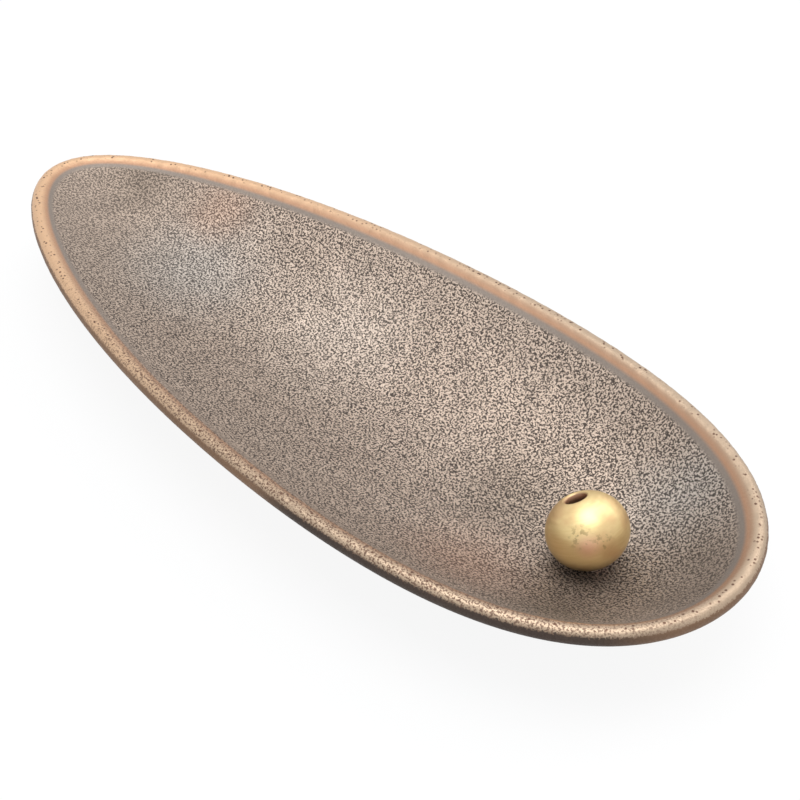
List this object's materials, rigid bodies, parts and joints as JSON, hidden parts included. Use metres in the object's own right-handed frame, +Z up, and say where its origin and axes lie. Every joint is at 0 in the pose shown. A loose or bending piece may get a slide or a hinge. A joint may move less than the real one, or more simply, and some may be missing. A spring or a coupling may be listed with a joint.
{
  "type": "incense holder",
  "caption": "Shallow egg-shaped cast metal tray with a rounded lip and a loose drilled brass bead, which holds an incense stick leaning over the tray so that the tray catches its ash.",
  "frame": {"origin": "on the surface that the holder stands on, under the middle of the tray's length and width", "axes": "+Z up; +X along the tray towards its wide end, where the bead lies; the tray is a mirror image of itself about the XZ plane"},
  "size_m": [0.15, 0.061, 0.0161],
  "materials": {
    "cast_copper": "fine wrinkled casting skin, dark brown-grey in the hollows and rubbed to copper on the crests and along the lip",
    "satin_brass": "satin, with fine turning lines around the bore",
    "dark_rubber": "matt"
  },
  "bodies": {
    "tray": {"tray": "cast_copper", "pad_wide_left": "dark_rubber", "pad_wide_right": "dark_rubber", "pad_narrow_left": "dark_rubber", "pad_narrow_right": "dark_rubber"},
    "bead": {"bead": "satin_brass"}
  },
  "joints": [
    {"name": "bead_lift", "type": "slide", "parent": "tray", "child": "bead", "axis": [0, 0, 1], "range_m": [0, 0.03]}
  ]
}
